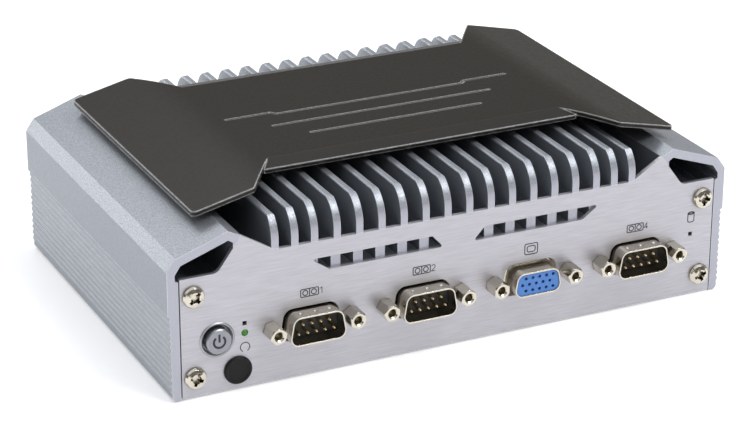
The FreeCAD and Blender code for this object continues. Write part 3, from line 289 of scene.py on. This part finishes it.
def sandblasted_aluminium():
    """Blasted grain on the wings' tops, plainer flanks painted darker as shade, painted highlights
    along the edges, and smooth sawn ends.
    """
    blast = 2700
    painted_shade_flank_color = (0.285, 0.305, 0.34)
    end_color = (0.44, 0.445, 0.50)
    # Painted highlight along the edges
    painted_highlight_color = (0.95, 0.97, 1.0)
    paint = Finish("sandblasted_aluminium", (0.43, 0.455, 0.495), 0.70, 0.44)
    paint.mottle(0.22, blast, 3.0)
    # Painted shade: faces that point along X, the flanks, are tinted darker
    sides = paint.facing("X", 0.85, 0.98)
    paint.tint(paint.spread(sides, 0.0, 0.7, 0.0, 1.0), painted_shade_flank_color)
    paint.tint(paint.facing("Y", 0.90, 0.98), end_color)
    paint.soft_edges(0.35 * MM, painted_highlight_color, 0.75)
    paint.worn(0.38, 0.54, 1800, 3.0)
    paint.grain(0.5, blast, 0.08 * MM, 3.0, where=paint.facing("Z", 0.2, 0.5))
    return paint.material


def brushed_aluminium():
    """Streaks that run across the width of the panel, along X."""
    streak = (0.04, 1, 1)
    paint = Finish("brushed_aluminium", (0.545, 0.534, 0.572), 0.75, 0.42)
    paint.mottle(0.08, 3600, 3.0, streak)
    paint.worn(0.38, 0.50, 3200, 2.0, streak)
    paint.grain(0.35, 4200, 0.03 * MM, 3.0, streak)
    return paint.material


def brown_coating():
    """Powder coat with a soft gloss and a painted highlight along its edges."""
    # Painted highlight along the edges
    painted_highlight_color = (0.78, 0.78, 0.77)
    paint = Finish("brown_coating", (0.0190, 0.0168, 0.0125), 0.0, 0.42)
    paint.shader.inputs["Specular IOR Level"].default_value = 0.12
    paint.shader.inputs["Coat Weight"].default_value = 0.22
    paint.shader.inputs["Coat Roughness"].default_value = 0.20
    paint.soft_edges(0.8 * MM, painted_highlight_color, 1.0)
    paint.mottle(0.05, 1500, 3.0)
    paint.worn(0.38, 0.48, 900, 3.0)
    paint.grain(0.12, 2600, 0.04 * MM, 3.0)
    return paint.material


def metal(name, color, roughness, grain_scale=1200, grain=0.12, edges=0.1, bright=None, painted_shade=None):
    """Bare metal, with a painted highlight of one colour along the edges (their radius in mm) and
    painted shade of another in recesses.
    """
    paint = Finish(name, color, 1.0, roughness)
    paint.mottle(0.03, grain_scale * 0.5, 3.0)
    # Painted highlight along the edges, in the colour bright
    paint.soft_edges(edges * MM, bright, 0.8)
    # Painted shade in recesses and narrow corners
    if painted_shade is not None:
        paint.painted_crevice_shade(1.2 * MM, painted_shade, 0.95)
    paint.worn(roughness * 0.8, roughness * 1.25, grain_scale, 3.0)
    paint.grain(grain, grain_scale * 2, 0.03 * MM, 2.0)
    return paint.material


def plastic(name, color, roughness, grain_scale=2200, grain=0.2, edges=0.15, gloss=0.5):
    """Moulded plastic, rubber or ink, with edges rounded by a radius in mm."""
    paint = Finish(name, color, 0.0, roughness)
    paint.shader.inputs["Specular IOR Level"].default_value = gloss
    paint.soft_edges(edges * MM)
    paint.mottle(0.04, grain_scale * 0.3, 2.0)
    paint.worn(roughness * 0.85, roughness * 1.15, grain_scale * 0.5, 2.0)
    paint.grain(grain, grain_scale, 0.04 * MM, 2.0)
    return paint.material


def circuit_board():
    """Solder mask with lighter patches where copper lies below it."""
    copper_color = (0.03, 0.16, 0.07)
    paint = Finish("circuit_board", (0.012, 0.085, 0.035), 0.0, 0.30)
    tracks = paint.noise(260, 1.0, (1, 0.3, 1))
    paint.tint(paint.spread(tracks, 0.0, 0.7, 0.52, 0.56), copper_color)
    paint.grain(0.2, 400, 0.05 * MM, 1.0)
    return paint.material


def green_lens():
    """Status lamp, lit faintly."""
    paint = Finish("green_lens", (0.012, 0.16, 0.0), 0.0, 0.3)
    paint.mottle(0.04, 900)
    paint.shader.inputs["Emission Color"].default_value = (0.06, 0.34, 0.0, 1)
    paint.shader.inputs["Emission Strength"].default_value = 0.10
    return paint.material


SLOTS = {
    "sandblasted_aluminium": sandblasted_aluminium(),
    "brushed_aluminium": brushed_aluminium(),
    "plain_aluminium": metal("plain_aluminium", (0.66, 0.67, 0.69), 0.34),
    "brown_coating": brown_coating(),
    "sheet_steel": metal("sheet_steel", (0.55, 0.56, 0.58), 0.38, 300),
    # Painted highlight along the rims and painted shade in the recesses
    "nickel": metal("nickel", (0.64, 0.595, 0.50), 0.17, 1200, 0.03, 0.10,
                    bright=(0.92, 0.89, 0.82), painted_shade=(0.05, 0.043, 0.03)),
    "zinc_steel": metal("zinc_steel", (0.60, 0.61, 0.62), 0.34),
    "tinned_steel": metal("tinned_steel", (0.66, 0.66, 0.65), 0.30),
    "gold": metal("gold", (0.72, 0.58, 0.36), 0.22),
    "black_plastic": plastic("black_plastic", (0.018, 0.017, 0.016), 0.42),
    "blue_plastic": plastic("blue_plastic", (0.07, 0.21, 0.56), 0.45),
    "green_plastic": plastic("green_plastic", (0.03, 0.22, 0.08), 0.45),
    # Painted highlight along the cap's rim
    "button_cap": metal("button_cap", (0.31, 0.315, 0.34), 0.36, 2600, 0.06, 0.2,
                        bright=(0.80, 0.80, 0.83)),
    "button_ring": metal("button_ring", (0.43, 0.43, 0.445), 0.42, 2600, 0.05, 0.15),
    "green_lens": green_lens(),
    "dark_lens": plastic("dark_lens", (0.05, 0.045, 0.04), 0.2),
    "black_rubber": plastic("black_rubber", (0.008, 0.008, 0.0085), 0.46, 1600, 0.3, 0.3,
                            gloss=0.22),
    "circuit_board": circuit_board(),
    "black_chip": plastic("black_chip", (0.022, 0.022, 0.025), 0.5),
    "grey_pad": plastic("grey_pad", (0.16, 0.19, 0.22), 0.7),
    "coin_steel": metal("coin_steel", (0.68, 0.68, 0.67), 0.28),
    "ferrite": plastic("ferrite", (0.035, 0.035, 0.038), 0.55),
}


def dress_nodes():
    """Gives every CAD node the finish that its record slot names."""
    for entry in frame["record"]["subparts"]:
        obj = nodes[entry["node"]]
        paint = SLOTS[entry["material_slot"]]
        if not obj.material_slots:
            obj.data.materials.append(paint)
        for slot in obj.material_slots:
            slot.material = paint


def add_piece(name, mesh, paint):
    """Turns a bmesh into an object with one material."""
    bmesh.ops.recalc_face_normals(mesh, faces=mesh.faces)
    data = bpy.data.meshes.new(name)
    mesh.to_mesh(data)
    mesh.free()
    piece = bpy.data.objects.new(name, data)
    bpy.context.collection.objects.link(piece)
    data.materials.append(paint)
    return piece


# ---------------------------------------------------------------- printed symbols

# Millimetres, as seen from the front; rises and shifts start at the middle of the fitting
INK_LIFT = 0.012                    # from the metal to the middle of the ink
INK_THICKNESS = 0.02
LINE_WIDTH = 0.32
NUMBER_WIDTH = 0.24
RING_WIDTH = 0.28
POWER_WIDTH = 0.66
SHORTEST_MITRE = 0.4                # keeps sharp corners from growing long points
CORNER_STEPS = 6
HALF_ROUND_STEPS = 14
ARC_STEPS = 30

SERIAL_RISE = 9.3
SERIAL_SHIFT = -0.4
SERIAL_BOX = (5.6, 2.4, 0.35)       # width, height and corner radius, here and below
SERIAL_PORT_SHIFT = 1.35
SERIAL_PORT_RADIUS = 0.78
SERIAL_DIVIDER_REACH = 1.1
NUMBER_SHIFT = 3.8
MONITOR_RISE = 9.2
MONITOR_FRAME = (4.3, 3.4, 0.5)
MONITOR_GLASS = (2.7, 1.9, 0.6)
DISK_RISE = 5.65
DISK_REACH = 1.25                   # half the height of the can
DISK_RADIUS = 1.1
LID_STEPS = 24
DISK_SQUASH = 0.4                   # height of the can's round ends, as a share of their width
RING_DROP = 4.5
RING_RADIUS = 1.45
RING_ANGLES = (-62, 242)            # degrees from +X, with the gap at the bottom
POWER_RADIUS = 1.75
POWER_ANGLES = (128, 412)           # with the gap at the top, round the bar
POWER_BAR = (-0.1, 2.4)


def ribbon(points, width, closed=False):
    """Faces of a flat line of even width through (x, z) points, as vertices and quads."""
    count = len(points)
    vertices = []
    for i, point in enumerate(points):
        before = points[i - 1] if closed or i > 0 else point
        after = points[(i + 1) % count] if closed or i < count - 1 else point
        into = (Vector(point) - Vector(before)).normalized()
        out = (Vector(after) - Vector(point)).normalized()
        along = (into + out).normalized()
        across = Vector((-along.y, along.x))
        reference = into if into.length > 0 else out
        spread = width / 2 / max(SHORTEST_MITRE, abs(along.dot(reference)))
        vertices += [Vector(point) - across * spread, Vector(point) + across * spread]
    quads = []
    for i in range(count if closed else count - 1):
        j = (i + 1) % count
        quads.append((2 * i, 2 * j, 2 * j + 1, 2 * i + 1))
    return vertices, quads


def arc(centre, radius, start, end, steps, stretch=1.0):
    """Points on a round line, with angles in degrees; stretch squashes it in height."""
    x, z = centre
    points = []
    for i in range(steps + 1):
        angle = math.radians(start + (end - start) * i / steps)
        points.append((x + radius * math.cos(angle), z + stretch * radius * math.sin(angle)))
    return points


def circle(centre, radius, steps=28, stretch=1.0):
    """Points of a closed round line."""
    return arc(centre, radius, 0, 360, steps, stretch)[:-1]


def rounded(centre, width, height, radius):
    """Outline of a rectangle with round corners, anticlockwise from the upper right one."""
    x, z = centre
    dx = width / 2 - radius
    dz = height / 2 - radius
    points = []
    for quarter, (side, level) in enumerate(((1, 1), (-1, 1), (-1, -1), (1, -1))):
        start = 90 * quarter
        corner = (x + side * dx, z + level * dz)
        points += arc(corner, radius, start, start + 90, CORNER_STEPS)
    return points


def printed(name, lines, width, y, paint, body):
    """Thin ink piece: each line is (points, closed), in millimetres on the plane y."""
    mesh = bmesh.new()
    for points, closed in lines:
        vertices, quads = ribbon(points, width, closed)
        placed = [mesh.verts.new((v.x * MM, y * MM, v.y * MM)) for v in vertices]
        for quad in quads:
            mesh.faces.new([placed[i] for i in quad])
    piece = add_piece(name, mesh, paint)
    thickness = piece.modifiers.new("thickness", "SOLIDIFY")
    thickness.thickness = INK_THICKNESS * MM
    thickness.offset = 0.0
    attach(piece, body)


def middle(node):
    """Middle of a node's box, in millimetres."""
    low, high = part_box(node)
    return [(a + b) / 2 / MM for a, b in zip(low, high)]


# Lines of each digit, in millimetres from its middle
DIGITS = {
    "1": [([(-0.45, 0.55), (0.1, 0.95), (0.1, -0.95)], False)],
    "2": [(arc((0.0, 0.38), 0.58, 165, -35, HALF_ROUND_STEPS) + [(-0.6, -0.95), (0.62, -0.95)], False)],
    "4": [([(0.62, -0.42), (-0.62, -0.42), (0.28, 0.95), (0.28, -0.95)], False)],
}


def shifted(lines, x, z):
    """Lines moved by x and z."""
    return [([(px + x, pz + z) for px, pz in points], closed) for points, closed in lines]


def add_symbols():
    """Generic port symbols and numbers above the connectors, and the button's power symbol."""
    ink = plastic("printing_ink", (0.02, 0.02, 0.024), 0.55, 3000, 0.1, 0.02)
    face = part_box("front_panel")[0][1] / MM - INK_LIFT
    for node, number in (("com1_shell", "1"), ("com2_shell", "2"), ("com4_shell", "4")):
        x, _, z = middle(node)
        x += SERIAL_SHIFT
        z += SERIAL_RISE
        lines = [(rounded((x, z), *SERIAL_BOX), True)]
        for side in (-1, 1):
            lines.append((circle((x + side * SERIAL_PORT_SHIFT, z), SERIAL_PORT_RADIUS), True))
        lines.append(([(x, z - SERIAL_DIVIDER_REACH), (x, z + SERIAL_DIVIDER_REACH)], False))
        printed(node[:4] + "_symbol", lines, LINE_WIDTH, face, ink, "case")
        digit = shifted(DIGITS[number], x + NUMBER_SHIFT, z)
        printed(node[:4] + "_number", digit, NUMBER_WIDTH, face, ink, "case")
    x, _, z = middle("vga_shell")
    z += MONITOR_RISE
    screen = [(rounded((x, z), *size), True) for size in (MONITOR_FRAME, MONITOR_GLASS)]
    printed("monitor_symbol", screen, LINE_WIDTH, face, ink, "case")
    x, _, z = middle("disk_lamp")
    z += DISK_RISE
    bottom = arc((x, z - DISK_REACH), DISK_RADIUS, 180, 360, HALF_ROUND_STEPS, DISK_SQUASH)
    sides = bottom + [(x + DISK_RADIUS, z + DISK_REACH), (x - DISK_RADIUS, z + DISK_REACH)]
    lid = circle((x, z + DISK_REACH), DISK_RADIUS, LID_STEPS, DISK_SQUASH)
    printed("disk_symbol", [(sides, True), (lid, True)], LINE_WIDTH, face, ink, "case")
    x, _, z = middle("status_lamp")
    ring = arc((x, z - RING_DROP), RING_RADIUS, *RING_ANGLES, ARC_STEPS)
    printed("ring_symbol", [(ring, False)], RING_WIDTH, face, ink, "case")
    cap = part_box("power_button")[0][1] / MM - INK_LIFT
    x, _, z = middle("power_button")
    bar = [(x, z + height) for height in POWER_BAR]
    ring = arc((x, z), POWER_RADIUS, *POWER_ANGLES, ARC_STEPS)
    printed("power_symbol", [(bar, False), (ring, False)], POWER_WIDTH, cap, ink, "button")


# ---------------------------------------------------------------- contacts of the LAN jacks

# Millimetres, apart from the number of contacts
CONTACTS = 8
CONTACT_PITCH = 1.02
CONTACT_HALF_WIDTH = 0.24
CONTACT_THICKNESS = 0.25
CONTACT_LIFT = 1.8                  # above the jack's lower face
# Side view of a contact: in from the mouth, and up from the lift
CONTACT_PATH = [(3.2, 0.15), (4.2, 0.45), (9.0, 2.5), (10.6, 2.7)]


def add_lan_contacts():
    """Eight sprung contacts on the floor of each LAN mouth."""
    for node in ("lan_jack_1", "lan_jack_2"):
        low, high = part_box(node)
        centre = (low[0] + high[0]) / 2 / MM
        floor = low[2] / MM + CONTACT_LIFT
        rear = high[1] / MM
        mesh = bmesh.new()
        for i in range(CONTACTS):
            x = centre + (i - (CONTACTS - 1) / 2) * CONTACT_PITCH
            left = x - CONTACT_HALF_WIDTH
            right = x + CONTACT_HALF_WIDTH
            rings = []
            for inward, rise in CONTACT_PATH:
                y = rear - inward
                z = floor + rise
                top = z + CONTACT_THICKNESS
                corners = [(left, z), (right, z), (right, top), (left, top)]
                rings.append([mesh.verts.new((cx * MM, y * MM, cz * MM)) for cx, cz in corners])
            for ring, following in zip(rings, rings[1:]):
                for j in range(4):
                    k = (j + 1) % 4
                    mesh.faces.new([ring[j], ring[k], following[k], following[j]])
            mesh.faces.new(rings[0][::-1])
            mesh.faces.new(rings[-1])
        piece = add_piece(node + "_contacts", mesh, SLOTS["gold"])
        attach(piece, "case")


add_camera()
add_world()
add_floor()
for light in LIGHTS:
    add_area(*light)
dress_nodes()
add_symbols()
add_lan_contacts()

bpy.context.scene.view_settings.view_transform = "Standard"
